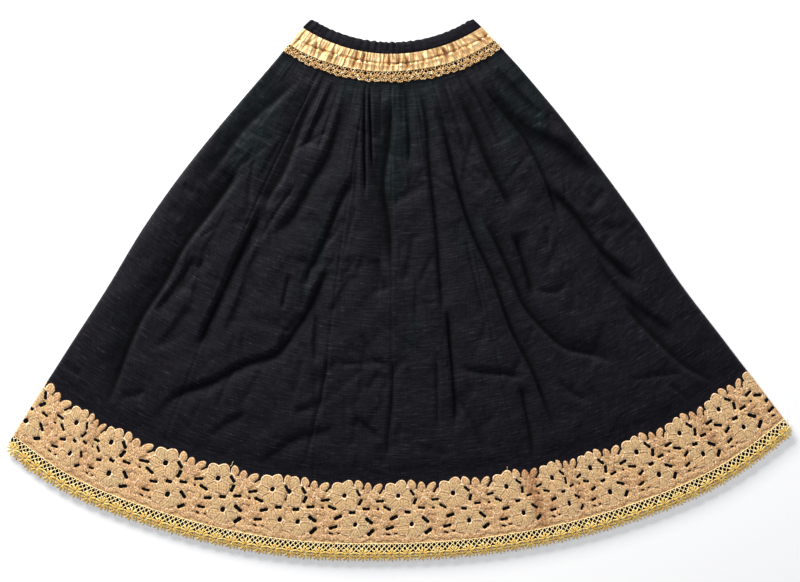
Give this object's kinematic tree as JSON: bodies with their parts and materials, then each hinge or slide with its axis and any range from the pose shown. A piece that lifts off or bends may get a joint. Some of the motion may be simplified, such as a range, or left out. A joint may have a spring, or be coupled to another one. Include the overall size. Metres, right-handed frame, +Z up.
{
  "type": "long skirt",
  "caption": "Long flared gored skirt laid flat, with a gathered elastic waist, satin and crochet waist trims, a floral cutwork border and a crochet hem.",
  "frame": {"origin": "centre of the bounding box's underside, on the surface that the skirt lies on", "axes": "+X to the viewer's right with the waist away from them, +Y from hem to waist, +Z up out of the cloth"},
  "size_m": [1.4296, 0.9825, 0.0107],
  "materials": {
    "black_slub_cloth": "matt slubbed plain weave in black, with a faint sheen along the folds",
    "gold_satin": "glossy gold satin ribbon, lightly puckered",
    "gold_crochet": "yellow gold crochet in a soft metallic thread",
    "beige_lace": "beige and peach embroidered lace with corded edges"
  },
  "bodies": {
    "root": {"front_gore_1": "black_slub_cloth", "front_gore_2": "black_slub_cloth", "front_gore_3": "black_slub_cloth", "front_gore_4": "black_slub_cloth", "front_gore_5": "black_slub_cloth", "front_gore_6": "black_slub_cloth", "back_gore_1": "black_slub_cloth", "back_gore_2": "black_slub_cloth", "back_gore_3": "black_slub_cloth", "back_gore_4": "black_slub_cloth", "back_gore_5": "black_slub_cloth", "back_gore_6": "black_slub_cloth", "casing_front": "black_slub_cloth", "casing_back": "black_slub_cloth", "satin_ribbon_front": "gold_satin", "satin_ribbon_back": "gold_satin", "waist_crochet_front": "gold_crochet", "waist_crochet_back": "gold_crochet", "border_front": "beige_lace", "border_back": "beige_lace", "hem_crochet_front": "gold_crochet", "hem_crochet_back": "gold_crochet"}
  },
  "joints": []
}
